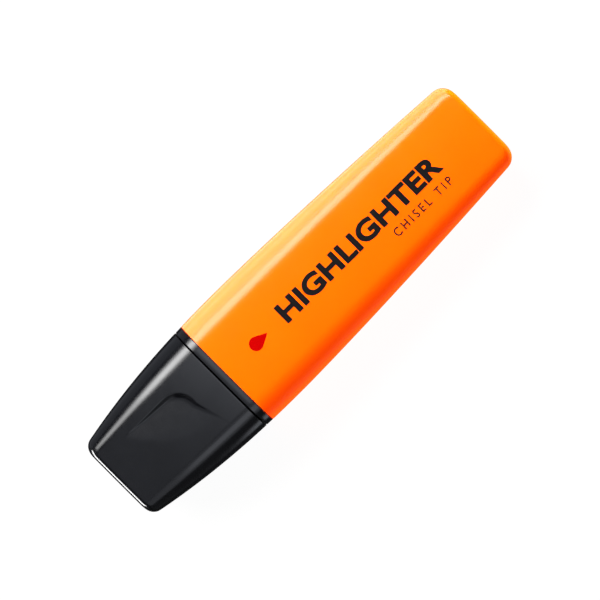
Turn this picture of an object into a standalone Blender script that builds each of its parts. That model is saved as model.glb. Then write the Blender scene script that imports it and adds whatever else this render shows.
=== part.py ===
"""A capped flat highlighter lying on its broad back face, as its separate pieces.

Sizes are in millimetres and the model is in metres. The pen is laid out along its own axis: x runs from
the cap's tip, at 0, to the barrel's end, at LENGTH; y runs across the broad faces and z through the
thickness. The empty pen_frame tips that layout so that the barrel's flat, tapering back face lies on z = 0.
The cap's joint is a slide along the pen's axis, which passes through the origin of every piece.
"""

import math

import bmesh
import bpy
from mathutils import Euler, Vector

MM = 0.001

# Overall form: a flat wedge, widest a little behind the cap and thickest at the cap's seam.
LENGTH = 105.0
WIDEST_X = 41.0
MAX_HALF_WIDTH = 13.5
TIP_NARROWING = 3.65
TIP_CURVE = 2.3
END_NARROWING = 2.75
END_CURVE = 1.5
SEAM_X = 31.0
SEAM_HALF_THICKNESS = 8.5
TIP_THINNING = 3.6
END_THINNING = 1.75
FLAT_HALF_WIDTH = 7.6
TIP_PLAN_RADIUS = 1.9
TIP_EDGE_RADIUS = 0.9
END_PLAN_RADIUS = 2.75
END_EDGE_RADIUS = 1.5

GAP = 0.3
MIN_RADIUS = 0.6
MIN_STRAIGHT = 0.05
SHARP_ANGLE = 35
CORNER_STEPS = 8
END_STEPS = 6
TURNED_STEPS = 32

# Cap
CAP_MOUTH_X = 29.7
CAP_WALL = 1.5
CAP_FACE_WALL = 2.6
CAP_SEAT_X = 24.0
CAP_SEAT_LEDGE = 0.1
CAP_SEAT_TAPER = 0.4
CAP_BLIND_X = 2.2
CAP_BLIND_TAPER = 0.6
CAP_BLIND_FACE_WALL = 3.2
CAP_BLIND_SIDE_WALL = 3.0

# Thumb recess: a shallow tilted pocket, deepest at its rounded corner, which runs out towards the tip.
RECESS_SIDE_Y = 5.45
RECESS_CORNER_X = 19.2
RECESS_CORNER_RADIUS = 3.6
RECESS_CORNER_STEPS = 6
RECESS_LOW_Y = -9.0
RECESS_END_LEAN = 2.6
RECESS_TIP_X = 3.0
RECESS_FLOOR_Z = 6.393
RECESS_RISE_X = 0.0651
RECESS_RISE_Y = -0.0745
RECESS_CUTTER_HEIGHT = 3.0

# Front section: collar, two spigots and the neck that holds the nib
COLLAR_FRONT_X = CAP_MOUTH_X + GAP
COLLAR_REAR_X = 31.3
FRONT_SPIGOT_X = 24.3
SPIGOT_CLEARANCE = 0.4
SPIGOT_CHAMFER = 0.8
BEAD_HEIGHT = 0.2
BEAD_HALF_LENGTH = 0.6
BEAD_X = 27.4
REAR_SPIGOT_X = 37.6
REAR_SPIGOT_WALL = 1.2
REAR_SPIGOT_CHAMFER = 0.4
CHAMBER_RADIUS = 5.3
CHAMBER_X = 26.0
CHAMBER_TAPER = 1.5
CHAMBER_WIDENING = 0.6

# The neck from its front to its shoulder: place along the pen, half width, half thickness, corner radius
NECK_RINGS = (
    (10.5, 3.2, 2.4, 1.1),
    (11.0, 3.6, 2.8, 1.4),
    (17.0, 4.3, 3.5, 1.9),
    (17.3, 4.5, 3.7, 2.1),
    (18.3, 4.5, 3.7, 2.1),
    (18.6, 4.3, 3.5, 1.9),
    (20.5, 4.6, 3.8, 2.1),
    (21.6, 5.6, 4.3, 2.4),
    (23.2, 9.4, 5.0, 3.0),
)

# The inner cap's inside from its blind end to its mouth, in the same order
INNER_CAP_WALL = 0.7
INNER_CAP_END_X = 3.0
INNER_CAP_RINGS = (
    (3.7, 3.2, 1.9, 0.8),
    (8.4, 3.3, 2.0, 0.9),
    (9.5, 3.9, 3.1, 1.5),
    (17.0, 4.8, 4.0, 2.2),
    (18.8, 4.9, 4.1, 2.3),
)

# Nib and ink reservoir
NIB_TIP_X = 4.2
NIB_REAR_X = 34.0
NIB_HALF_WIDTH = 2.5
NIB_HALF_THICKNESS = 1.6
NIB_SLANT = 3.2
NIB_EDGE = 0.25
NIB_EDGE_STEPS = 2
RESERVOIR_FRONT_X = 27.0
RESERVOIR_REAR_X = 95.0
RESERVOIR_RADIUS = 4.4
RESERVOIR_BORE_RADIUS = 3.3
RESERVOIR_BORE_DEPTH = 7.5
WRAP_WALL = 0.3

# Barrel and end plug
BARREL_FRONT_X = COLLAR_REAR_X + GAP
BARREL_WALL = 1.5
CAVITY_REAR_X = 102.8
RIB_FRONT_X = 38.5
RIB_REAR_X = 98.0
RIB_Y = 3.2
RIB_THICKNESS = 1.0
RIB_INNER_Z = 4.3
RIB_ROOT = 0.8
PLUG_HALF_WIDTH = 5.2
PLUG_HALF_THICKNESS = 2.7
PLUG_RADIUS = 1.7
PLUG_RECESS = 0.3
PLUG_BARB = 0.3
PLUG_BARB_LENGTH = 0.6
PLUG_BARB_TAPER = 1.0
PLUG_STEM_INSET = 0.5

TILT = math.atan(END_THINNING / (LENGTH - SEAM_X))
REST_HEIGHT = SEAM_HALF_THICKNESS * math.cos(TILT) + SEAM_X * math.sin(TILT)


def clear_scene():
    for scene_object in list(bpy.data.objects):
        bpy.data.objects.remove(scene_object, do_unlink=True)


def make_collection(name):
    collection = bpy.data.collections.new(name)
    bpy.context.scene.collection.children.link(collection)
    return collection


def make_material(name, colour, roughness, alpha=1.0):
    material = bpy.data.materials.new(name)
    material.use_nodes = True
    shader = material.node_tree.nodes["Principled BSDF"]
    shader.inputs["Base Color"].default_value = (*colour, 1.0)
    shader.inputs["Roughness"].default_value = roughness
    shader.inputs["Metallic"].default_value = 0.0
    shader.inputs["Alpha"].default_value = alpha
    return material


def half_width(x):
    """Half the width of the plan outline at x: two smooth arcs that meet at the widest place."""
    if x < WIDEST_X:
        share = (WIDEST_X - x) / WIDEST_X
        return MAX_HALF_WIDTH - TIP_NARROWING * share**TIP_CURVE
    share = (x - WIDEST_X) / (LENGTH - WIDEST_X)
    return MAX_HALF_WIDTH - END_NARROWING * share**END_CURVE


def half_thickness(x):
    """Half the thickness at x: the cap curves down to its tip, and the barrel's faces are flat."""
    if x < SEAM_X:
        return SEAM_HALF_THICKNESS - TIP_THINNING * ((SEAM_X - x) / SEAM_X) ** 2
    return SEAM_HALF_THICKNESS - END_THINNING * (x - SEAM_X) / (LENGTH - SEAM_X)


def ring(x, half_y, half_z, radius):
    """The points of a rounded rectangle across the pen at x."""
    radius = min(radius, half_y - MIN_STRAIGHT, half_z - MIN_STRAIGHT)
    points = []
    for corner, (side_y, side_z) in enumerate(((1, 1), (-1, 1), (-1, -1), (1, -1))):
        centre_y = side_y * (half_y - radius)
        centre_z = side_z * (half_z - radius)
        for step in range(CORNER_STEPS + 1):
            angle = math.pi / 2 * (corner + step / CORNER_STEPS)
            y = centre_y + radius * math.cos(angle)
            z = centre_z + radius * math.sin(angle)
            points.append(Vector((x, y, z)) * MM)
    return points


def body_ring(x, side_inset=0.0, face_inset=None):
    """The pen's outline at x, drawn in from its sides and from its broad faces."""
    if face_inset is None:
        face_inset = side_inset
    radius = half_width(x) - FLAT_HALF_WIDTH - min(side_inset, face_inset)
    return ring(
        x,
        half_width(x) - side_inset,
        half_thickness(x) - face_inset,
        max(radius, MIN_RADIUS),
    )


def stations(start, stop, count):
    """Evenly spaced places along the pen, both ends included."""
    return [start + (stop - start) * index / (count - 1) for index in range(count)]


def end_rings(end_x, direction, plan_radius, edge_radius):
    """Rings that round the outline off to a flat end at end_x, which faces along direction."""
    rings = []
    for step in range(END_STEPS + 1):
        angle = math.pi / 2 * step / END_STEPS
        back = plan_radius * (1 - math.sin(angle))
        side_inset = plan_radius * (1 - math.cos(angle))
        inside = max(edge_radius - back, 0.0)
        face_inset = edge_radius - math.sqrt(edge_radius**2 - inside**2)
        rings.append(body_ring(end_x - direction * back, side_inset, face_inset))
    return rings


def add_object(name, mesh, collection, parent, material=None):
    made = bpy.data.objects.new(name, mesh)
    collection.objects.link(made)
    made.parent = parent
    if material:
        mesh.materials.append(material)
    return made


def loft(name, rings, closed, collection, parent, material=None):
    """Joins rings of equally many points: into a tube on itself if closed, or else with two flat ends."""
    bm = bmesh.new()
    loops = [[bm.verts.new(point) for point in points] for points in rings]
    pairs = list(zip(loops, loops[1:]))
    if closed:
        pairs.append((loops[-1], loops[0]))
    else:
        bm.faces.new(list(reversed(loops[0])))
        bm.faces.new(loops[-1])
    for first, second in pairs:
        for index, vertex in enumerate(first):
            following = (index + 1) % len(first)
            bm.faces.new((vertex, first[following], second[following], second[index]))
    bmesh.ops.recalc_face_normals(bm, faces=bm.faces)
    mesh = bpy.data.meshes.new(name)
    bm.to_mesh(mesh)
    bm.free()
    mesh.shade_smooth()
    mesh.set_sharp_from_angle(angle=math.radians(SHARP_ANGLE))
    return add_object(name, mesh, collection, parent, material)


def slab(name, outline, thickness, collection, parent, material=None):
    """A flat outline in local x and y, given thickness along local z."""
    curve = bpy.data.curves.new(name, "CURVE")
    curve.dimensions = "2D"
    curve.fill_mode = "BOTH"
    curve.extrude = thickness / 2 * MM
    spline = curve.splines.new("POLY")
    spline.points.add(len(outline) - 1)
    for point, (x, y) in zip(spline.points, outline):
        point.co = (x * MM, y * MM, 0.0, 1.0)
    spline.use_cyclic_u = True
    guide = bpy.data.objects.new(name + "_outline", curve)
    collection.objects.link(guide)
    bpy.context.view_layer.update()
    evaluated = guide.evaluated_get(bpy.context.evaluated_depsgraph_get())
    mesh = bpy.data.meshes.new_from_object(evaluated)
    bpy.data.objects.remove(guide, do_unlink=True)
    bm = bmesh.new()
    bm.from_mesh(mesh)
    bmesh.ops.remove_doubles(bm, verts=bm.verts, dist=1e-6)
    bmesh.ops.recalc_face_normals(bm, faces=bm.faces)
    bm.to_mesh(mesh)
    bm.free()
    return add_object(name, mesh, collection, parent, material)


def turned(name, profile, closed, collection, parent, material):
    """A profile of (radius, x) points turned about the pen's axis with a Screw modifier."""
    mesh = bpy.data.meshes.new(name)
    vertices = [(radius * MM, 0.0, x * MM) for radius, x in profile]
    edges = [(index, index + 1) for index in range(len(profile) - 1)]
    if closed:
        edges.append((len(profile) - 1, 0))
    mesh.from_pydata(vertices, edges, [])
    made = add_object(name, mesh, collection, parent, material)
    made.rotation_euler = Euler((0.0, math.pi / 2, 0.0))
    screw = made.modifiers.new("turn", "SCREW")
    screw.axis = "Z"
    screw.angle = 2 * math.pi
    screw.steps = TURNED_STEPS
    screw.render_steps = TURNED_STEPS
    screw.use_merge_vertices = True
    screw.merge_threshold = 1e-5
    screw.use_smooth_shade = True
    return made


def add_boolean(target, tool, operation):
    tool.hide_render = True
    tool.display_type = "WIRE"
    modifier = target.modifiers.new(tool.name, "BOOLEAN")
    modifier.operation = operation
    modifier.solver = "EXACT"
    modifier.object = tool


def make_barrel(parts, cutters, frame, material):
    shoulder = LENGTH - 4 * END_PLAN_RADIUS
    outside = [body_ring(x) for x in stations(BARREL_FRONT_X, shoulder, 10)]
    outside += end_rings(LENGTH, 1, END_PLAN_RADIUS, END_EDGE_RADIUS)
    opening = (PLUG_HALF_WIDTH + GAP, PLUG_HALF_THICKNESS + GAP, PLUG_RADIUS + GAP)
    inside = [ring(LENGTH, *opening), ring(CAVITY_REAR_X, *opening)]
    inside.append(body_ring(CAVITY_REAR_X, 2 * BARREL_WALL))
    inside += [body_ring(x, BARREL_WALL) for x in stations(CAVITY_REAR_X - END_PLAN_RADIUS, BARREL_FRONT_X, 9)]
    barrel = loft("barrel", outside + inside, True, parts, frame, material)

    # Four ribs stand in from the broad walls and cradle the round reservoir.
    rib_outline = (
        (RIB_FRONT_X, RIB_INNER_Z),
        (RIB_REAR_X, RIB_INNER_Z),
        (RIB_REAR_X, half_thickness(RIB_REAR_X) - RIB_ROOT),
        (RIB_FRONT_X, half_thickness(RIB_FRONT_X) - RIB_ROOT),
    )
    for side, side_y in (("left", 1), ("right", -1)):
        for face, turn in (("front", math.pi / 2), ("back", -math.pi / 2)):
            name = f"barrel_rib_{face}_{side}"
            rib = slab(name, rib_outline, RIB_THICKNESS, cutters, frame)
            rib.rotation_euler = Euler((turn, 0.0, 0.0))
            rib.location = (0.0, side_y * RIB_Y * MM, 0.0)
            add_boolean(barrel, rib, "UNION")


def make_end_plug(parts, frame, material):
    head = (PLUG_HALF_WIDTH, PLUG_HALF_THICKNESS, PLUG_RADIUS)
    barb = (PLUG_HALF_WIDTH + PLUG_BARB, PLUG_HALF_THICKNESS + PLUG_BARB, PLUG_RADIUS)
    stem = (PLUG_HALF_WIDTH - PLUG_STEM_INSET, PLUG_HALF_THICKNESS - PLUG_STEM_INSET, PLUG_RADIUS)
    barb_x = CAVITY_REAR_X - GAP
    rings = [
        ring(RESERVOIR_REAR_X + GAP, *stem),
        ring(barb_x - PLUG_BARB_LENGTH - PLUG_BARB_TAPER, *stem),
        ring(barb_x - PLUG_BARB_LENGTH, *barb),
        ring(barb_x, *barb),
        ring(barb_x, *head),
        ring(LENGTH - PLUG_RECESS, *head),
    ]
    loft("end_plug", rings, False, parts, frame, material)


def make_front_section(parts, frame, material):
    seat = CAP_WALL + SPIGOT_CLEARANCE
    joint = BARREL_WALL + GAP
    inner = joint + REAR_SPIGOT_WALL
    slot = (NIB_HALF_WIDTH + GAP, NIB_HALF_THICKNESS + GAP, MIN_RADIUS)
    chamber = (CHAMBER_RADIUS, CHAMBER_RADIUS, CHAMBER_RADIUS)
    neck = [ring(*sizes) for sizes in NECK_RINGS]
    outside = [
        body_ring(FRONT_SPIGOT_X, seat + SPIGOT_CHAMFER),
        body_ring(FRONT_SPIGOT_X + SPIGOT_CHAMFER, seat),
        body_ring(BEAD_X - BEAD_HALF_LENGTH, seat),
        body_ring(BEAD_X, seat - BEAD_HEIGHT),
        body_ring(BEAD_X + BEAD_HALF_LENGTH, seat),
        body_ring(COLLAR_FRONT_X, seat),
        body_ring(COLLAR_FRONT_X),
        body_ring(COLLAR_REAR_X),
        body_ring(COLLAR_REAR_X, joint),
        body_ring(REAR_SPIGOT_X - REAR_SPIGOT_CHAMFER, joint),
        body_ring(REAR_SPIGOT_X, joint + REAR_SPIGOT_CHAMFER),
    ]
    inside = [
        body_ring(REAR_SPIGOT_X, inner),
        body_ring(COLLAR_REAR_X + CHAMBER_WIDENING, inner),
        ring(COLLAR_REAR_X - CHAMBER_WIDENING, *chamber),
        ring(CHAMBER_X, *chamber),
        ring(CHAMBER_X - CHAMBER_TAPER, *slot),
        ring(NECK_RINGS[0][0], *slot),
    ]
    loft("front_section", neck + outside + inside, True, parts, frame, material)


def make_nib(parts, frame, material):
    outline = (
        (NIB_TIP_X, -NIB_HALF_WIDTH),
        (NIB_REAR_X, -NIB_HALF_WIDTH),
        (NIB_REAR_X, NIB_HALF_WIDTH),
        (NIB_TIP_X + NIB_SLANT, NIB_HALF_WIDTH),
    )
    nib = slab("nib", outline, 2 * NIB_HALF_THICKNESS, parts, frame, material)
    bevel = nib.modifiers.new("rounded_edges", "BEVEL")
    bevel.width = NIB_EDGE * MM
    bevel.segments = NIB_EDGE_STEPS


def make_reservoir(parts, frame, fibre, film):
    bore_x = RESERVOIR_FRONT_X + RESERVOIR_BORE_DEPTH
    rod = (
        (0.0, RESERVOIR_REAR_X),
        (RESERVOIR_RADIUS, RESERVOIR_REAR_X),
        (RESERVOIR_RADIUS, RESERVOIR_FRONT_X),
        (RESERVOIR_BORE_RADIUS, RESERVOIR_FRONT_X),
        (RESERVOIR_BORE_RADIUS, bore_x),
        (0.0, bore_x),
    )
    turned("ink_reservoir", rod, False, parts, frame, fibre)
    wrap_inner = RESERVOIR_RADIUS + GAP
    wrap_outer = wrap_inner + WRAP_WALL
    sleeve = (
        (wrap_outer, RESERVOIR_REAR_X),
        (wrap_outer, RESERVOIR_FRONT_X),
        (wrap_inner, RESERVOIR_FRONT_X),
        (wrap_inner, RESERVOIR_REAR_X),
    )
    turned("reservoir_wrap", sleeve, True, parts, frame, film)


def recess_outline():
    """Straight along the upper side, round the deep corner, then down the leaning end."""
    points = [(RECESS_TIP_X, RECESS_SIDE_Y)]
    centre_y = RECESS_SIDE_Y - RECESS_CORNER_RADIUS
    for step in range(RECESS_CORNER_STEPS + 1):
        angle = math.pi / 2 * (1 - step / RECESS_CORNER_STEPS)
        x = RECESS_CORNER_X + RECESS_CORNER_RADIUS * math.cos(angle)
        points.append((x, centre_y + RECESS_CORNER_RADIUS * math.sin(angle)))
    end_x = RECESS_CORNER_X + RECESS_CORNER_RADIUS + RECESS_END_LEAN
    points.append((end_x, RECESS_LOW_Y))
    points.append((RECESS_TIP_X, RECESS_LOW_Y))
    return points


def make_cap(parts, cutters, frame, material):
    hollow_x = stations(CAP_BLIND_X + CAP_BLIND_TAPER, CAP_SEAT_X - CAP_SEAT_TAPER, 7)
    inside = [body_ring(CAP_BLIND_X, CAP_BLIND_SIDE_WALL, CAP_BLIND_FACE_WALL)]
    inside += [body_ring(x, CAP_WALL + CAP_SEAT_LEDGE, CAP_FACE_WALL) for x in hollow_x]
    inside += [body_ring(x, CAP_WALL) for x in stations(CAP_SEAT_X, CAP_MOUTH_X, 3)]
    outside = [body_ring(x) for x in stations(CAP_MOUTH_X, 2 * TIP_PLAN_RADIUS, 9)]
    outside += end_rings(0.0, -1, TIP_PLAN_RADIUS, TIP_EDGE_RADIUS)
    cap = loft("cap", inside + outside, False, parts, frame, material)

    # The same thumb recess is on both broad faces, the back one turned half round the pen's axis.
    slope = Vector((-RECESS_RISE_X, -RECESS_RISE_Y, 1.0)).normalized()
    facing = Vector((0.0, 0.0, 1.0)).rotation_difference(slope).to_matrix()
    for face, turn in (("front", 0.0), ("back", math.pi)):
        name = f"thumb_recess_{face}"
        cutter = slab(name, recess_outline(), 2 * RECESS_CUTTER_HEIGHT, cutters, frame)
        floor = Vector((0.0, 0.0, RECESS_FLOOR_Z * MM)) + slope * RECESS_CUTTER_HEIGHT * MM
        half_turn = Euler((turn, 0.0, 0.0)).to_matrix()
        cutter.rotation_euler = (half_turn @ facing).to_euler()
        cutter.location = half_turn @ floor
        add_boolean(cap, cutter, "DIFFERENCE")


def make_inner_cap(parts, frame, material):
    inside = [ring(*sizes) for sizes in INNER_CAP_RINGS]
    outside = [
        ring(x, half_y + INNER_CAP_WALL, half_z + INNER_CAP_WALL, radius + INNER_CAP_WALL)
        for x, half_y, half_z, radius in reversed(INNER_CAP_RINGS)
    ]
    end = [ring(INNER_CAP_END_X, *INNER_CAP_RINGS[0][1:])]
    loft("inner_cap", inside + outside + end, False, parts, frame, material)


def make_pen_frame(collection):
    frame = bpy.data.objects.new("pen_frame", None)
    collection.objects.link(frame)
    frame.rotation_euler = Euler((0.0, TILT, 0.0))
    frame.location = Vector((-LENGTH / 2, 0.0, REST_HEIGHT)) * MM
    return frame


def main():
    clear_scene()
    parts = make_collection("highlighter")
    cutters = make_collection("cutters")
    frame = make_pen_frame(parts)
    orange = make_material("orange_plastic", (1.0, 0.25, 0.0), 0.35)
    black = make_material("black_plastic", (0.012, 0.012, 0.014), 0.3)
    liner = make_material("liner_plastic", (0.6, 0.6, 0.58), 0.45)
    ink_fibre = make_material("ink_soaked_fibre", (1.0, 0.2, 0.01), 0.9)
    film = make_material("clear_film", (0.9, 0.9, 0.9), 0.2, alpha=0.5)

    make_barrel(parts, cutters, frame, orange)
    make_end_plug(parts, frame, orange)
    make_front_section(parts, frame, black)
    make_nib(parts, frame, ink_fibre)
    make_reservoir(parts, frame, ink_fibre, film)
    make_cap(parts, cutters, frame, black)
    make_inner_cap(parts, frame, liner)


main()
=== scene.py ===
"""Looks for the capped flat highlighter: fine meshes, materials, studio and camera.

Sizes are in millimetres along the pen's own axes (x from the cap's tip, y across the broad faces, z through
the thickness) and MM turns them into metres. PEN places those axes in the frame, tipped so that the barrel's
back face rests on the floor. The outline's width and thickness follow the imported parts' formulas. The corners
and edges are finer than theirs.
"""

import math

import bmesh
import bpy
from mathutils import Matrix, Vector


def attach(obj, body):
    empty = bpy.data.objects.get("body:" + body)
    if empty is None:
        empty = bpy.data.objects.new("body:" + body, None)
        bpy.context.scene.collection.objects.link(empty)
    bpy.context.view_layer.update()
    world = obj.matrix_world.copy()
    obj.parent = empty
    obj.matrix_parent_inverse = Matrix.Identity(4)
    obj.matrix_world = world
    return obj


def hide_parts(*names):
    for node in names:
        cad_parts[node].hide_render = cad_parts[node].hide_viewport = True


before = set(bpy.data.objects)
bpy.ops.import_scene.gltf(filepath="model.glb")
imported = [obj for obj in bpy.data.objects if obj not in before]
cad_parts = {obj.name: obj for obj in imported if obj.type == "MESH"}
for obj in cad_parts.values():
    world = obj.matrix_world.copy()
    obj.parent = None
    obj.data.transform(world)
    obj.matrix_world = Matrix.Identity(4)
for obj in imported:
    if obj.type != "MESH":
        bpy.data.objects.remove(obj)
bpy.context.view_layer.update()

MM = 0.001

# Outline
LENGTH = 105.0
WIDEST_X = 41.0
MAX_HALF_WIDTH = 13.5
TIP_NARROWING = 3.65
TIP_CURVE = 2.3
END_NARROWING = 2.75
END_CURVE = 1.5
SEAM_X = 31.0
SEAM_HALF_THICKNESS = 8.5
TIP_THINNING = 3.6
END_THINNING = 1.75
FLAT_HALF_WIDTH = 7.6
TIP_PLAN_RADIUS = 1.9
TIP_EDGE_RADIUS = 1.22
END_PLAN_RADIUS = 2.75
END_EDGE_RADIUS = 1.5

# Section: a hardly domed broad face, a round corner and a hardly domed side
TIP_FLAT_NARROWING = 0.56
TIP_FLAT_CURVE = 1.3
FACE_CROWN = 0.3
SIDE_LEAN = math.radians(3.0)
CORNER_ROOM = 0.4
CORNER_CENTRE_Z = 0.1
EDGE_ROUND = 0.08

# How finely the sections are divided, and how far apart they stand along the pen
FACE_STEPS = 8
CORNER_STEPS = 14
SIDE_STEPS = 4
END_STEPS = 10
EDGE_STEPS = 3
BARREL_STATION = 1.2
BARREL_INSIDE_STATION = 4.0
BARREL_END_GAP = 0.6
CAP_STATION = 0.5
CAP_TIP_STATION = 0.4
CAP_INSIDE_STATION = 2.0
CAP_MOUTH_GAP = 0.3

# Where the visible pieces meet
CAP_MOUTH_X = 29.64
COLLAR_FRONT_X = 29.95
COLLAR_REAR_X = 31.5
BARREL_FRONT_X = 31.65

# Cap, inside
CAP_WALL = 1.5
CAP_FACE_WALL = 2.6
CAP_MOUTH_CHAMFER = 0.2
CAP_SKIRT_X = 27.0
CAP_SEAT_X = 24.0
CAP_SEAT_LEDGE = 0.1
CAP_SEAT_TAPER = 0.4
CAP_BLIND_X = 2.2
CAP_BLIND_TAPER = 0.6
CAP_BLIND_SIDE_WALL = 3.0
CAP_BLIND_FACE_WALL = 3.2

# Thumb recess. Its floor is a plane of height RECESS_FLOOR_Z + RECESS_RISE_X * x + RECESS_RISE_Y * y.
RECESS_SIDE_Y = 5.55
RECESS_CORNER_RADIUS = 4.6
RECESS_END_X = 23.2
RECESS_END_Y = 0.0
RECESS_END_LEAN = 0.25
RECESS_FLOOR_Z = 6.393
RECESS_RISE_X = 0.0651
RECESS_RISE_Y = -0.0745
RECESS_FILLET = 2.4
RECESS_RAMP = 0.62
RECESS_FOOT = 0.05
RECESS_FADE = 0.06
RECESS_STEP = 0.16
RECESS_SPAN = (5.0, 26.0)

# Front section. A section's sizes are its half width, its half height and how far its flat reaches, and
# NECK_RINGS puts the place along the pen before them. SPIGOT_NOSE gives places and how far inside the seat
# the section lies there. BEAD gives the same, measured from the bead's middle.
NECK_RINGS = (
    (10.5, 3.2, 2.4, 1.9),
    (10.56, 3.4, 2.6, 1.9),
    (10.75, 3.55, 2.75, 1.9),
    (17.0, 4.3, 3.5, 2.2),
    (17.3, 4.48, 3.68, 2.3),
    (17.8, 4.55, 3.75, 2.3),
    (18.3, 4.48, 3.68, 2.3),
    (18.6, 4.3, 3.5, 2.2),
    (20.2, 4.5, 3.7, 2.4),
    (21.2, 5.2, 4.1, 2.9),
    (22.0, 6.6, 4.55, 4.0),
    (23.0, 9.3, 4.95, 6.0),
    (23.8, 10.3, 5.2, 6.6),
)
SPIGOT_CLEARANCE = 0.4
SPIGOT_NOSE = ((24.3, 0.7), (24.7, 0.25), (25.2, 0.0))
BEAD_X = 27.4
BEAD = ((-0.6, 0.0), (-0.25, -0.14), (0.0, -0.2), (0.25, -0.14), (0.6, 0.0))
COLLAR_INSET = 0.02
COLLAR_REAR_ROUND = 0.05
ROOT_RISE = 0.75
ROOT_GAP = 0.06
REAR_SPIGOT_X = 37.6
REAR_SPIGOT_INSET = 1.8
REAR_SPIGOT_CHAMFER_LENGTH = 0.5
REAR_SPIGOT_CHAMFER = 0.4
REAR_SPIGOT_INSIDE = 3.0
REAR_SPIGOT_FLOOR_X = 31.7
CHAMBER = (5.3, 5.3, 0.6)
CHAMBER_REAR_X = 30.5
CHAMBER_FRONT_X = 26.0
NIB_SLOT = (2.8, 1.9, 2.2)
NIB_SLOT_REAR_X = 24.5

# Nib
NIB_TIP_X = 4.2
NIB_REAR_X = 34.0
NIB_HALF_WIDTH = 2.5
NIB_HALF_THICKNESS = 1.6
NIB_SLANT = 3.2
NIB_EDGE = 0.35
NIB_EDGE_STEPS = 4

# Barrel, inside and at its end
BARREL_WALL = 1.5
BARREL_MOUTH_CHAMFER_LENGTH = 0.4
BARREL_MOUTH_CHAMFER = 0.3
CAVITY_STRAIGHT_X = 101.0
CAVITY_CORNER_X = 102.4
CAVITY_CORNER_SIDE_WALL = 2.6
CAVITY_CORNER_FACE_WALL = 2.0
CAVITY_REAR_X = 102.8
OPENING = (5.35, 2.85, 3.4)
OPENING_CHAMFER = 0.15

# End plug. PLUG_EDGE gives distances behind its face and how far the edge is drawn in there.
PLUG_RECESS = 0.3
PLUG_FACE_X = LENGTH - PLUG_RECESS
PLUG_EDGE = ((0.0, 0.3), (0.05, 0.12), (0.2, 0.0))
PLUG_HEAD = (5.2, 2.7, 3.2)
PLUG_HEAD_X = 102.5
PLUG_BARB = (5.5, 3.0, 3.4)
PLUG_BARB_X = 102.4
PLUG_BARB_LENGTH = 0.8
PLUG_STEM = (4.6, 2.3, 3.0)
PLUG_STEM_X = 95.3

TILT = math.atan(END_THINNING / (LENGTH - SEAM_X))
REST_HEIGHT = SEAM_HALF_THICKNESS * math.cos(TILT) + SEAM_X * math.sin(TILT)
PEN = Matrix.Translation(Vector((-LENGTH / 2, 0.0, REST_HEIGHT)) * MM) @ Matrix.Rotation(TILT, 4, "Y")

# Camera: straight down on the pen's middle plane, with the pen across the picture's diagonal
CAMERA_DISTANCE = 480.0
CAMERA_X = 52.76
VIEW_WIDTH = 123.86
SENSOR_WIDTH = 36.0
PICTURE_TURN = math.radians(45.0)


# ---------------------------------------------------------------- outline

def half_width(x):
    if x < WIDEST_X:
        return MAX_HALF_WIDTH - TIP_NARROWING * ((WIDEST_X - x) / WIDEST_X) ** TIP_CURVE
    return MAX_HALF_WIDTH - END_NARROWING * ((x - WIDEST_X) / (LENGTH - WIDEST_X)) ** END_CURVE


def half_thickness(x):
    if x < SEAM_X:
        return SEAM_HALF_THICKNESS - TIP_THINNING * ((SEAM_X - x) / SEAM_X) ** 2
    return SEAM_HALF_THICKNESS - END_THINNING * (x - SEAM_X) / (LENGTH - SEAM_X)


def flat_half_width(x):
    """How far from the middle the broad face reaches at x: a little less far towards the cap's tip."""
    return FLAT_HALF_WIDTH - TIP_FLAT_NARROWING * (max(SEAM_X - x, 0.0) / SEAM_X) ** TIP_FLAT_CURVE


def quadrant(half_y, half_z, flat, face_steps):
    """Points from the face's middle round to the side's middle, as (y, z), for one quarter of a section."""
    flat = min(flat, half_y - CORNER_ROOM)
    crown = FACE_CROWN * (flat / FLAT_HALF_WIDTH) ** 2
    lean = math.atan(2 * crown / flat)
    radius = (half_y - flat) / (math.cos(SIDE_LEAN) - math.sin(lean))
    centre_y = flat - radius * math.sin(lean)
    centre_z = half_z - crown - radius * math.cos(lean)
    if centre_z < CORNER_CENTRE_Z:
        radius = (half_z - crown - CORNER_CENTRE_Z) / math.cos(lean)
        centre_z = CORNER_CENTRE_Z
        centre_y = half_y - radius * math.cos(SIDE_LEAN)
        flat = centre_y + radius * math.sin(lean)
    points = []
    for step in range(face_steps):
        y = flat * step / face_steps
        points.append((y, half_z - crown * (y / flat) ** 2))
    for step in range(CORNER_STEPS + 1):
        angle = lean + (math.pi / 2 - SIDE_LEAN - lean) * step / CORNER_STEPS
        points.append((centre_y + radius * math.sin(angle), centre_z + radius * math.cos(angle)))
    side_y, side_z = points[-1]
    for step in range(1, SIDE_STEPS + 1):
        share = step / SIDE_STEPS
        bulge = side_z * math.tan(SIDE_LEAN) / 2 * (1 - (1 - share) ** 2)
        points.append((side_y + bulge, side_z * (1 - share)))
    return points


def section(x, half_y, half_z, flat, face_steps=FACE_STEPS):
    """A whole section across the pen at x, as points going round it once."""
    quarter = quadrant(half_y, half_z, flat, face_steps)
    ring = [(x, y, z) for y, z in quarter]
    ring += [(x, y, -z) for y, z in reversed(quarter[:-1])]
    ring += [(x, -y, -z) for y, z in quarter[1:]]
    ring += [(x, -y, z) for y, z in reversed(quarter[1:-1])]
    return ring


def body_section(x, side_inset=0.0, face_inset=None, face_steps=FACE_STEPS):
    """The pen's outline at x, drawn in from its sides and its broad faces."""
    if face_inset is None:
        face_inset = side_inset
    flat = flat_half_width(x) - max(side_inset - face_inset, 0.0)
    return section(x, half_width(x) - side_inset, half_thickness(x) - face_inset, flat, face_steps)


def stations(start, stop, step):
    count = max(1, round(abs(stop - start) / step))
    return [start + (stop - start) * index / count for index in range(count + 1)]


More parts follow.
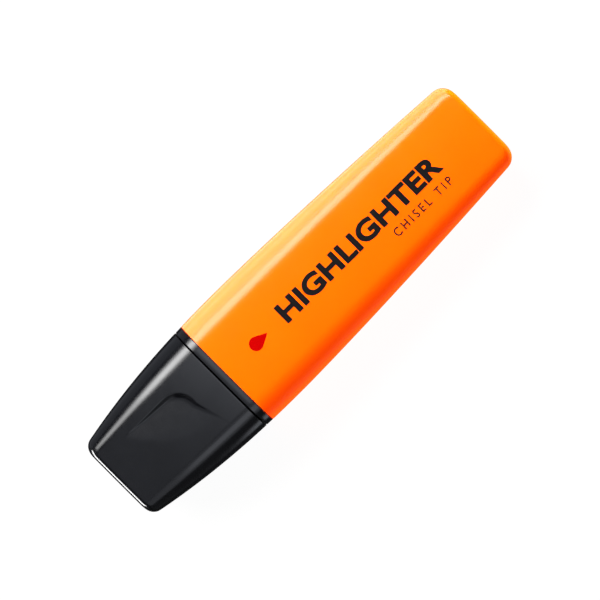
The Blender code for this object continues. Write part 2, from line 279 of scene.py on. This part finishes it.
def end_sections(end_x, direction, plan_radius, edge_radius, face_steps=FACE_STEPS):
    """Sections that round the outline off to a flat end at end_x, which faces along direction."""
    rings = []
    for step in range(END_STEPS + 1):
        angle = math.pi / 2 * step / END_STEPS
        back = plan_radius * (1 - math.sin(angle))
        side_inset = plan_radius * (1 - math.cos(angle))
        inside = max(edge_radius - back, 0.0)
        face_inset = edge_radius - math.sqrt(edge_radius**2 - inside**2)
        x = end_x - direction * back
        rings.append(body_section(x, side_inset, face_inset, face_steps))
    return rings


def lip_sections(edge_x, direction, inset=0.0, radius=EDGE_ROUND, face_steps=FACE_STEPS):
    """Sections that round the body's outline over at an open edge at edge_x, which faces along direction."""
    rings = []
    for step in range(EDGE_STEPS + 1):
        angle = math.pi / 2 * step / EDGE_STEPS
        x = edge_x - direction * radius * (1 - math.sin(angle))
        rings.append(body_section(x, inset + radius * (1 - math.cos(angle)), None, face_steps))
    return rings


# ---------------------------------------------------------------- meshes

def finish_mesh(name, mesh, body, material, stands_for=(), sharp=40.0):
    """Places a mesh drawn in pen millimetres in the frame and gives it its body, slot and material."""
    mesh.transform(PEN @ Matrix.Scale(MM, 4))
    mesh.shade_smooth()
    mesh.set_sharp_from_angle(angle=math.radians(sharp))
    mesh.materials.append(material)
    piece = bpy.data.objects.new(name, mesh)
    bpy.context.scene.collection.objects.link(piece)
    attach(piece, body)
    if stands_for:
        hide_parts(*stands_for)
    return piece


def loft_mesh(name, rings, closed):
    """Joins sections of equally many points, into a tube on itself if closed, or else with two flat ends."""
    count = len(rings[0])
    vertices = [point for ring in rings for point in ring]
    pairs = list(zip(range(len(rings)), range(1, len(rings))))
    if closed:
        pairs.append((len(rings) - 1, 0))
    faces = []
    for first, second in pairs:
        for index in range(count):
            following = (index + 1) % count
            faces.append((first * count + index, first * count + following,
                          second * count + following, second * count + index))
    if not closed:
        faces.append(tuple(reversed(range(count))))
        faces.append(tuple(range((len(rings) - 1) * count, len(rings) * count)))
    mesh = bpy.data.meshes.new(name)
    mesh.from_pydata(vertices, [], faces)
    bm = bmesh.new()
    bm.from_mesh(mesh)
    bmesh.ops.recalc_face_normals(bm, faces=bm.faces)
    bm.to_mesh(mesh)
    bm.free()
    return mesh


def recess_depth(x, y):
    """How far the thumb recess sinks below the front face at (x, y).

    Its side wall is a straight ramp and its end wall a wide fillet. They turn into each other round the
    corner.
    """
    from_end = RECESS_END_X + RECESS_END_LEAN * max(RECESS_END_Y - y, 0.0) - x
    from_side = RECESS_SIDE_Y - y
    if from_end <= 0.0 or from_side <= 0.0:
        return 0.0
    end_gap = RECESS_CORNER_RADIUS - from_end
    side_gap = RECESS_CORNER_RADIUS - from_side
    if end_gap > 0.0 and side_gap > 0.0:
        inside = RECESS_CORNER_RADIUS - math.hypot(end_gap, side_gap)
        side_share = side_gap**2 / (end_gap**2 + side_gap**2)
    else:
        inside = min(from_end, from_side)
        side_share = 1.0 if from_side < from_end else 0.0
    if inside <= 0.0:
        return 0.0
    floor = RECESS_FLOOR_Z + RECESS_RISE_X * x + RECESS_RISE_Y * y
    below = half_thickness(x) - floor
    below = (below + math.hypot(below, RECESS_FADE)) / 2
    short = max(math.sqrt(2 * RECESS_FILLET * below) - inside, 0.0)
    fillet = below - short**2 / (2 * RECESS_FILLET)
    ramp = inside * RECESS_RAMP
    ramp = max((below + ramp - math.hypot(below - ramp, RECESS_FOOT)) / 2, 0.0)
    return side_share * ramp + (1.0 - side_share) * fillet


def make_barrel(material):
    outside = list(reversed(lip_sections(BARREL_FRONT_X, -1)))
    start, stop = BARREL_FRONT_X + BARREL_END_GAP, LENGTH - END_PLAN_RADIUS - BARREL_END_GAP
    outside += [body_section(x) for x in stations(start, stop, BARREL_STATION)]
    outside += end_sections(LENGTH, 1, END_PLAN_RADIUS, END_EDGE_RADIUS)
    half_y, half_z, flat = OPENING
    inside = [
        section(LENGTH, half_y + OPENING_CHAMFER, half_z + OPENING_CHAMFER, flat),
        section(LENGTH - OPENING_CHAMFER, *OPENING),
        section(CAVITY_REAR_X, *OPENING),
        body_section(CAVITY_CORNER_X, CAVITY_CORNER_SIDE_WALL, CAVITY_CORNER_FACE_WALL),
    ]
    mouth = BARREL_FRONT_X + BARREL_MOUTH_CHAMFER_LENGTH
    inside += [body_section(x, BARREL_WALL)
               for x in stations(CAVITY_STRAIGHT_X, mouth, BARREL_INSIDE_STATION)]
    inside.append(body_section(BARREL_FRONT_X, BARREL_WALL - BARREL_MOUTH_CHAMFER))
    mesh = loft_mesh("barrel_shell", outside + inside, True)
    return finish_mesh("barrel_shell", mesh, "barrel", material, ["barrel"])


def make_end_plug(material):
    half_y, half_z, flat = PLUG_HEAD
    rings = [section(PLUG_FACE_X - behind, half_y - inset, half_z - inset, flat)
             for behind, inset in PLUG_EDGE]
    rings += [
        section(PLUG_HEAD_X, *PLUG_HEAD),
        section(PLUG_BARB_X, *PLUG_BARB),
        section(PLUG_BARB_X - PLUG_BARB_LENGTH, *PLUG_BARB),
        section(PLUG_BARB_X - 2 * PLUG_BARB_LENGTH, *PLUG_STEM),
        section(PLUG_STEM_X, *PLUG_STEM),
    ]
    mesh = loft_mesh("end_plug_moulding", rings, False)
    return finish_mesh("end_plug_moulding", mesh, "barrel", material, ["end_plug"])


def make_front_section(material):
    seat = CAP_WALL + SPIGOT_CLEARANCE
    neck = [section(*sizes) for sizes in NECK_RINGS]
    outside = [body_section(x, seat + inset) for x, inset in SPIGOT_NOSE]
    outside += [body_section(BEAD_X + offset, seat + inset) for offset, inset in BEAD]
    outside += [
        body_section(COLLAR_FRONT_X - ROOT_RISE - ROOT_GAP, seat),
        body_section(COLLAR_FRONT_X - ROOT_GAP, seat - ROOT_RISE),
        body_section(COLLAR_FRONT_X, seat - ROOT_RISE - COLLAR_INSET),
        body_section(COLLAR_FRONT_X, EDGE_ROUND + COLLAR_INSET),
    ]
    outside += list(reversed(lip_sections(COLLAR_FRONT_X, -1, COLLAR_INSET)))[1:]
    outside += lip_sections(COLLAR_REAR_X, 1, COLLAR_INSET, COLLAR_REAR_ROUND)
    outside += [
        body_section(COLLAR_REAR_X, REAR_SPIGOT_INSET),
        body_section(REAR_SPIGOT_X - REAR_SPIGOT_CHAMFER_LENGTH, REAR_SPIGOT_INSET),
        body_section(REAR_SPIGOT_X, REAR_SPIGOT_INSET + REAR_SPIGOT_CHAMFER),
    ]
    inside = [
        body_section(REAR_SPIGOT_X, REAR_SPIGOT_INSIDE),
        body_section(REAR_SPIGOT_FLOOR_X, REAR_SPIGOT_INSIDE),
        section(CHAMBER_REAR_X, *CHAMBER),
        section(CHAMBER_FRONT_X, *CHAMBER),
        section(NIB_SLOT_REAR_X, *NIB_SLOT),
        section(NECK_RINGS[0][0], *NIB_SLOT),
    ]
    mesh = loft_mesh("front_moulding", neck + outside + inside, True)
    return finish_mesh("front_moulding", mesh, "barrel", material, ["front_section"])


def cap_stations():
    """Close together along the recess and further apart elsewhere."""
    low, high = RECESS_SPAN
    found = stations(CAP_MOUTH_X - CAP_MOUTH_GAP, high, CAP_STATION)
    found += stations(high, low, RECESS_STEP)[1:]
    found += stations(low, TIP_PLAN_RADIUS + CAP_TIP_STATION, CAP_TIP_STATION)[1:]
    return found


def make_cap(material):
    face_steps = round(FLAT_HALF_WIDTH / RECESS_STEP)
    blind_end, seat_end = CAP_BLIND_X + CAP_BLIND_TAPER, CAP_SEAT_X - CAP_SEAT_TAPER
    inside = [body_section(CAP_BLIND_X, CAP_BLIND_SIDE_WALL, CAP_BLIND_FACE_WALL, face_steps)]
    inside += [body_section(x, CAP_WALL + CAP_SEAT_LEDGE, CAP_FACE_WALL, face_steps)
               for x in stations(blind_end, seat_end, CAP_INSIDE_STATION)]
    inside += [body_section(x, CAP_WALL, None, face_steps)
               for x in (CAP_SEAT_X, CAP_SKIRT_X, CAP_MOUTH_X - CAP_MOUTH_CHAMFER)]
    inside.append(body_section(CAP_MOUTH_X, CAP_WALL - CAP_MOUTH_CHAMFER, None, face_steps))
    outside = list(reversed(lip_sections(CAP_MOUTH_X, 1, 0.0, EDGE_ROUND, face_steps)))
    outside += [body_section(x, 0.0, None, face_steps) for x in cap_stations()]
    outside += end_sections(0.0, -1, TIP_PLAN_RADIUS, TIP_EDGE_RADIUS, face_steps)

    # The recess sinks the front face, and the back face by the same shape turned half round the axis.
    for ring in outside:
        for index, (x, y, z) in enumerate(ring):
            if z > 0.0 and abs(y) < FLAT_HALF_WIDTH:
                ring[index] = (x, y, z - recess_depth(x, y))
            elif z < 0.0 and abs(y) < FLAT_HALF_WIDTH:
                ring[index] = (x, y, z + recess_depth(x, -y))
    mesh = loft_mesh("cap_shell", inside + outside, False)
    return finish_mesh("cap_shell", mesh, "cap", material, ["cap"])


def make_nib(material):
    """A chisel-cut bar of bonded fibre."""
    outline = (
        (NIB_TIP_X, -NIB_HALF_WIDTH),
        (NIB_REAR_X, -NIB_HALF_WIDTH),
        (NIB_REAR_X, NIB_HALF_WIDTH),
        (NIB_TIP_X + NIB_SLANT, NIB_HALF_WIDTH),
    )
    bm = bmesh.new()
    bottom = [bm.verts.new((x, y, -NIB_HALF_THICKNESS)) for x, y in outline]
    face = bm.faces.new(bottom)
    extruded = bmesh.ops.extrude_face_region(bm, geom=[face])
    top = [item for item in extruded["geom"] if isinstance(item, bmesh.types.BMVert)]
    bmesh.ops.translate(bm, vec=(0.0, 0.0, 2 * NIB_HALF_THICKNESS), verts=top)
    bmesh.ops.bevel(bm, geom=list(bm.edges), offset=NIB_EDGE, segments=NIB_EDGE_STEPS, profile=0.5,
                    affect="EDGES")
    bmesh.ops.recalc_face_normals(bm, faces=bm.faces)
    mesh = bpy.data.meshes.new("nib_chisel")
    bm.to_mesh(mesh)
    bm.free()
    return finish_mesh("nib_chisel", mesh, "barrel", material, ["nib"])


# ---------------------------------------------------------------- print

# The ink stands PRINT_LIFT off the face and is cut along the pen into strips, so that it can follow the crown
PRINT_LIFT = 0.012
PRINT_THICKNESS = 0.02
PRINT_STRIP = 0.5
WELD_DISTANCE = 1e-4
CUT_TOLERANCE = 1e-5
FONT_STEPS = 6

# Each line of words: where it starts and stops along the pen and across it, its spacing and its weight
WORD_ALONG = (47.7, 92.5)
WORD_ACROSS = (-1.8, 2.7)
WORD_SPACING = 1.04
WORD_WEIGHT = 0.042
SMALL_ALONG = (75.9, 91.9)
SMALL_ACROSS = (-5.2, -3.3)
SMALL_SPACING = 1.5
SMALL_WEIGHT = 0.012

DROP_TIP_X = 43.4
DROP_ROUND_X = 40.2
DROP_RADIUS = 1.5
DROP_STEPS = 28


def face_height(x, y):
    """Height of the barrel's front face above the pen's middle plane."""
    return half_thickness(x) - FACE_CROWN * (y / FLAT_HALF_WIDTH) ** 2


def print_mesh(name, outline, material):
    """Turns a flat curve or text object, drawn in pen millimetres, into ink on the barrel's front face."""
    bpy.context.view_layer.update()
    evaluated = outline.evaluated_get(bpy.context.evaluated_depsgraph_get())
    mesh = bpy.data.meshes.new_from_object(evaluated)
    mesh.transform(outline.matrix_world)
    mesh.name = name
    bpy.data.objects.remove(outline, do_unlink=True)
    bm = bmesh.new()
    bm.from_mesh(mesh)
    bmesh.ops.remove_doubles(bm, verts=bm.verts, dist=WELD_DISTANCE)
    low = min(vertex.co.y for vertex in bm.verts)
    high = max(vertex.co.y for vertex in bm.verts)
    for y in stations(low, high, PRINT_STRIP)[1:-1]:
        everything = list(bm.verts) + list(bm.edges) + list(bm.faces)
        bmesh.ops.bisect_plane(bm, geom=everything, dist=CUT_TOLERANCE,
                               plane_co=(0.0, y, 0.0), plane_no=(0.0, 1.0, 0.0))
    for vertex in bm.verts:
        vertex.co.z += face_height(vertex.co.x, vertex.co.y) + PRINT_LIFT
    bmesh.ops.recalc_face_normals(bm, faces=bm.faces)
    bm.to_mesh(mesh)
    bm.free()
    mesh.materials.clear()
    return finish_mesh(name, mesh, "barrel", material)


def text_outline(words, along, across, spacing, weight):
    """Words in Blender's own font between two places along the pen and two across it."""
    start_x, stop_x = along
    base_y, top_y = across
    curve = bpy.data.curves.new("words", "FONT")
    curve.body = words
    curve.space_character = spacing
    curve.offset = weight
    curve.extrude = 0.5  # one unit thick, so that the scale in z is the print's thickness
    curve.resolution_u = FONT_STEPS
    made = bpy.data.objects.new("words", curve)
    bpy.context.scene.collection.objects.link(made)
    bpy.context.view_layer.update()
    low, high = Vector(made.bound_box[0]), Vector(made.bound_box[6])
    scale_x = (stop_x - start_x) / (high.x - low.x)
    scale_y = (top_y - base_y) / (high.y - low.y)
    made.scale = (scale_x, scale_y, PRINT_THICKNESS)
    made.location = (start_x - low.x * scale_x, base_y - low.y * scale_y, 0.0)
    return made


def drop_outline(tip_x, round_x, radius):
    """A plain ink drop lying along the pen."""
    reach = abs(tip_x - round_x)
    first = math.acos(radius / reach)
    points = [(tip_x, 0.0)]
    for step in range(DROP_STEPS + 1):
        angle = first + (2 * math.pi - 2 * first) * step / DROP_STEPS
        points.append((round_x + radius * math.cos(angle), radius * math.sin(angle)))
    curve = bpy.data.curves.new("drop", "CURVE")
    curve.dimensions = "2D"
    curve.fill_mode = "BOTH"
    curve.extrude = PRINT_THICKNESS / 2
    spline = curve.splines.new("POLY")
    spline.points.add(len(points) - 1)
    for point, (x, y) in zip(spline.points, points):
        point.co = (x, y, 0.0, 1.0)
    spline.use_cyclic_u = True
    made = bpy.data.objects.new("drop", curve)
    bpy.context.scene.collection.objects.link(made)
    return made


# ---------------------------------------------------------------- materials

# The parts of a noise's range over which colour and roughness change, and bump heights in metres
COLOUR_RANGE = (0.35, 0.65)
ROUGHNESS_RANGE = (0.3, 0.7)
FINE_BUMP = 0.000004
FIBRE_BUMP = 0.00005
FINE_BUMP_STRENGTH = 0.6
STRAND_STRETCH = (0.08, 1.0, 1.0)


def new_material(name):
    material = bpy.data.materials.new(name)
    material.use_nodes = True
    return material, material.node_tree.nodes["Principled BSDF"]


def add_node(material, kind, **settings):
    node = material.node_tree.nodes.new(kind)
    for key, value in settings.items():
        setattr(node, key, value)
    return node


def object_noise(material, scale, detail=3.0, stretch=(1.0, 1.0, 1.0)):
    """Noise in object space, with scale in features per metre."""
    links = material.node_tree.links
    place = add_node(material, "ShaderNodeTexCoord")
    mapping = add_node(material, "ShaderNodeMapping")
    mapping.inputs["Scale"].default_value = stretch
    noise = add_node(material, "ShaderNodeTexNoise")
    noise.inputs["Scale"].default_value = scale
    noise.inputs["Detail"].default_value = detail
    links.new(place.outputs["Object"], mapping.inputs["Vector"])
    links.new(mapping.outputs["Vector"], noise.inputs["Vector"])
    return noise.outputs["Fac"]


def vary_colour(material, shader, first, second, factor):
    ramp = add_node(material, "ShaderNodeValToRGB")
    for element, colour, position in zip(ramp.color_ramp.elements, (first, second), COLOUR_RANGE):
        element.color = (*colour, 1.0)
        element.position = position
    material.node_tree.links.new(factor, ramp.inputs["Fac"])
    material.node_tree.links.new(ramp.outputs["Color"], shader.inputs["Base Color"])


def vary_roughness(material, shader, low, high, factor):
    spread = add_node(material, "ShaderNodeMapRange")
    spread.inputs["From Min"].default_value = ROUGHNESS_RANGE[0]
    spread.inputs["From Max"].default_value = ROUGHNESS_RANGE[1]
    spread.inputs["To Min"].default_value = low
    spread.inputs["To Max"].default_value = high
    material.node_tree.links.new(factor, spread.inputs["Value"])
    material.node_tree.links.new(spread.outputs["Result"], shader.inputs["Roughness"])


def add_bump(material, shader, height, factor, strength=1.0):
    bump = add_node(material, "ShaderNodeBump")
    bump.inputs["Distance"].default_value = height
    bump.inputs["Strength"].default_value = strength
    material.node_tree.links.new(factor, bump.inputs["Height"])
    material.node_tree.links.new(bump.outputs["Normal"], shader.inputs["Normal"])


def orange_plastic():
    material, shader = new_material("orange_plastic")
    vary_colour(material, shader, (1.0, 0.234, 0.0), (1.0, 0.248, 0.0), object_noise(material, 90.0))
    vary_roughness(material, shader, 0.2, 0.24, object_noise(material, 400.0))
    add_bump(material, shader, FINE_BUMP, object_noise(material, 2500.0), FINE_BUMP_STRENGTH)
    shader.inputs["IOR"].default_value = 1.33
    # Painted light: a uniform red glow that keeps the plastic's shaded sides bright red, lit or not
    shader.inputs["Emission Color"].default_value = (1.0, 0.0, 0.0, 1.0)
    shader.inputs["Emission Strength"].default_value = 0.7
    return material


def black_plastic():
    material, shader = new_material("black_plastic")
    patches = object_noise(material, 120.0)
    vary_colour(material, shader, (0.0016, 0.0018, 0.003), (0.0026, 0.0029, 0.0044), patches)
    vary_roughness(material, shader, 0.17, 0.2, object_noise(material, 500.0))
    add_bump(material, shader, FINE_BUMP, object_noise(material, 3000.0), FINE_BUMP_STRENGTH)
    shader.inputs["IOR"].default_value = 1.49
    return material


def fibre(name, light, dark):
    """Bonded fibre, with its strands along the pen."""
    material, shader = new_material(name)
    strands = object_noise(material, 1500.0, 4.0, STRAND_STRETCH)
    vary_colour(material, shader, dark, light, strands)
    vary_roughness(material, shader, 0.75, 0.95, strands)
    add_bump(material, shader, FIBRE_BUMP, strands)
    return material


def liner_plastic():
    material, shader = new_material("liner_plastic")
    vary_colour(material, shader, (0.55, 0.55, 0.53), (0.65, 0.65, 0.63), object_noise(material, 200.0))
    vary_roughness(material, shader, 0.4, 0.5, object_noise(material, 500.0))
    return material


def clear_film():
    material, shader = new_material("clear_film")
    vary_colour(material, shader, (0.85, 0.86, 0.87), (0.95, 0.95, 0.95), object_noise(material, 300.0))
    vary_roughness(material, shader, 0.15, 0.3, object_noise(material, 600.0))
    shader.inputs["Alpha"].default_value = 0.5
    return material


def print_ink(name, first, second):
    material, shader = new_material(name)
    grain = object_noise(material, 3000.0)
    vary_colour(material, shader, first, second, grain)
    vary_roughness(material, shader, 0.4, 0.55, grain)
    add_bump(material, shader, FINE_BUMP, grain)
    return material


def dress_cad_node(name, material):
    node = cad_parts[name]
    node.data.materials.clear()
    node.data.materials.append(material)


# ---------------------------------------------------------------- studio

CARD_DISTANCE = 0.9
CARD_GAP = 0.004
CARD_BLUE = (0.96, 1.0, 1.1)
WORLD_STRENGTH = 0.03
FLOOR_HALF_SIZE = 1.5
FLOOR_CELLS = 8
FLOOR_DROP = 0.00002
FLOOR_GREY = 0.08
FLOOR_GLOW = 0.97


def add_card(name, azimuth, zenith, half_span, ends, radiance,
             diffuse=False, glossy=True, lit=None, tint=None):
    """A soft rectangular light around the pen's middle, aimed at it, in degrees about the pen's own axes.

    azimuth is 0 toward the barrel's end and 90 toward +y, and zenith is 0 straight above. half_span is half
    of what the card covers up and down, and ends are where it stops to its left and right. lit is a
    collection of the only objects that it lights. Each card stands a little farther off than the one before,
    so that cards which overlap don't lie in one plane.
    """
    distance = CARD_DISTANCE + CARD_GAP * len(bpy.data.lights)
    around, down = math.radians(azimuth), math.radians(zenith)
    outward = Vector((math.sin(down) * math.cos(around), math.sin(down) * math.sin(around), math.cos(down)))
    sideways = Vector((math.sin(around), -math.cos(around), 0.0))
    upward = outward.cross(sideways)
    low, high = (distance * math.tan(math.radians(end)) for end in ends)
    data = bpy.data.lights.new(name, "AREA")
    data.shape = "RECTANGLE"
    data.size = high - low
    data.size_y = 2 * distance * math.tan(math.radians(half_span))
    data.energy = radiance * math.pi * data.size * data.size_y
    light = bpy.data.objects.new(name, data)
    bpy.context.scene.collection.objects.link(light)
    turn = Matrix((sideways, upward, outward)).transposed().to_4x4()
    centre = Vector((LENGTH / 2, 0.0, 0.0)) * MM + outward * distance + sideways * (low + high) / 2
    light.matrix_world = PEN @ Matrix.Translation(centre) @ turn
    light.visible_camera = False
    light.visible_diffuse = diffuse
    light.visible_glossy = glossy
    if tint is not None:
        data.color = tint
    if lit is not None:
        light.light_linking.receiver_collection = lit


def make_floor():
    bm = bmesh.new()
    bmesh.ops.create_grid(bm, x_segments=FLOOR_CELLS, y_segments=FLOOR_CELLS, size=FLOOR_HALF_SIZE)
    mesh = bpy.data.meshes.new("floor")
    bm.to_mesh(mesh)
    bm.free()
    floor = bpy.data.objects.new("floor", mesh)
    bpy.context.scene.collection.objects.link(floor)
    material, shader = new_material("floor_white")
    shader.inputs["Base Color"].default_value = (FLOOR_GREY, FLOOR_GREY, FLOOR_GREY, 1.0)
    shader.inputs["Roughness"].default_value = 1.0
    shader.inputs["Specular IOR Level"].default_value = 0.0
    shader.inputs["Emission Color"].default_value = (1.0, 1.0, 1.0, 1.0)
    shader.inputs["Emission Strength"].default_value = FLOOR_GLOW
    mesh.materials.append(material)
    floor.location.z = -FLOOR_DROP
    floor.visible_glossy = False
    floor.visible_shadow = False


def make_studio(orange_pieces, black_pieces, cap_piece):
    """The world, the floor, three lights that shade the pieces and the cards that the pieces mirror."""
    world = bpy.data.worlds.new("studio")
    bpy.context.scene.world = world
    world.use_nodes = True
    background = world.node_tree.nodes["Background"]
    background.inputs["Color"].default_value = (1.0, 1.0, 1.0, 1.0)
    background.inputs["Strength"].default_value = WORLD_STRENGTH
    make_floor()
    add_card("key", 107.0, 53.0, 16.0, (-30.0, 30.0), 9.9, diffuse=True, glossy=False)
    add_card("end_fill", 0.0, 100.0, 10.0, (-22.0, -2.0), 43.0, diffuse=True, glossy=False)
    add_card("bounce", 270.0, 132.0, 15.0, (-30.0, 30.0), 5.2, diffuse=True, glossy=False)
    add_card("orange_strip", 90.0, 43.0, 14.0, (-24.0, 40.0), 15.0, lit=orange_pieces)
    add_card("side_card", 90.0, 85.0, 24.0, (-45.0, 45.0), 6.7, lit=orange_pieces)
    add_card("low_card", 90.0, 130.0, 20.0, (-45.0, 45.0), 2.6, lit=orange_pieces)
    for half_span, radiance in ((20.0, 4.4), (12.5, 7.6), (7.0, 4.5)):
        add_card("black_strip", 90.0, 40.0, half_span, (-19.0, 40.0), radiance, lit=black_pieces)
    for half_span, radiance in ((16.0, 2.2), (11.5, 3.8), (6.0, 2.3)):
        add_card("black_strip_tip", 90.0, 40.0, half_span, (-33.0, -19.0), radiance, lit=black_pieces)
    add_card("black_low_card", 90.0, 105.0, 28.0, (-45.0, 45.0), 0.3, lit=black_pieces, tint=CARD_BLUE)
    for near_end, radiance in ((-45.0, 0.4), (-22.0, 0.12), (-10.0, 0.33), (-4.0, 0.72)):
        add_card("overhead", 90.0, 0.5, 15.0, (near_end, 35.0), radiance, lit=black_pieces, tint=CARD_BLUE)
    add_card("overhead_side", 90.0, 9.0, 8.0, (-12.0, 35.0), 0.2, lit=black_pieces, tint=CARD_BLUE)
    for half_span, end, radiance in ((20.0, 40.0, 0.55), (10.0, 22.0, 0.9)):
        add_card("far_strip", 270.0, 36.5, half_span, (-24.0, end), radiance,
                 lit=black_pieces, tint=CARD_BLUE)
    for half_span, radiance in ((14.0, 0.5), (9.0, 0.9)):
        add_card("far_low_card", 270.0, 102.0, half_span, (-35.0, 8.0), radiance,
                 lit=black_pieces, tint=CARD_BLUE)
    add_card("far_fill", 270.0, 72.0, 45.0, (-45.0, 45.0), 0.08, lit=black_pieces, tint=CARD_BLUE)
    add_card("tip_card", 180.0, 92.0, 8.0, (-18.0, 35.0), 30.0, lit=cap_piece)


def make_camera():
    camera_data = bpy.data.cameras.new("camera")
    camera_data.sensor_width = SENSOR_WIDTH
    camera_data.sensor_fit = "HORIZONTAL"
    camera_data.lens = SENSOR_WIDTH * CAMERA_DISTANCE / VIEW_WIDTH
    camera_data.clip_start = 0.01
    camera_data.clip_end = 10.0
    camera = bpy.data.objects.new("camera", camera_data)
    bpy.context.scene.collection.objects.link(camera)
    above = Matrix.Translation(Vector((CAMERA_X, 0.0, CAMERA_DISTANCE)) * MM)
    camera.matrix_world = PEN @ above @ Matrix.Rotation(-PICTURE_TURN, 4, "Z")
    bpy.context.scene.camera = camera
    bpy.context.scene.view_settings.view_transform = "Standard"
    bpy.context.scene.view_settings.look = "None"


# ---------------------------------------------------------------- assembly

def gather(name, pieces):
    collection = bpy.data.collections.new(name)
    for piece in pieces:
        collection.objects.link(piece)
    return collection


orange = orange_plastic()
black = black_plastic()
nib_fibre = fibre("nib_fibre", (1.0, 0.24, 0.02), (0.85, 0.15, 0.01))
rod_fibre = fibre("reservoir_fibre", (1.0, 0.35, 0.06), (0.9, 0.22, 0.03))
black_ink = print_ink("print_black", (0.012, 0.012, 0.013), (0.016, 0.016, 0.017))
red_ink = print_ink("print_red", (0.8, 0.0, 0.0), (0.7, 0.0, 0.0))

orange_pieces = [make_barrel(orange), make_end_plug(orange)]
black_pieces = [make_front_section(black), make_cap(black)]
make_nib(nib_fibre)
word = text_outline("HIGHLIGHTER", WORD_ALONG, WORD_ACROSS, WORD_SPACING, WORD_WEIGHT)
print_mesh("print_word", word, black_ink)
small_words = text_outline("CHISEL TIP", SMALL_ALONG, SMALL_ACROSS, SMALL_SPACING, SMALL_WEIGHT)
print_mesh("print_small_words", small_words, black_ink)
print_mesh("print_drop", drop_outline(DROP_TIP_X, DROP_ROUND_X, DROP_RADIUS), red_ink)
dress_cad_node("ink_reservoir", rod_fibre)
dress_cad_node("reservoir_wrap", clear_film())
dress_cad_node("inner_cap", liner_plastic())

make_studio(gather("orange_pieces", orange_pieces), gather("black_pieces", black_pieces),
            gather("cap_piece", black_pieces[1:]))
make_camera()
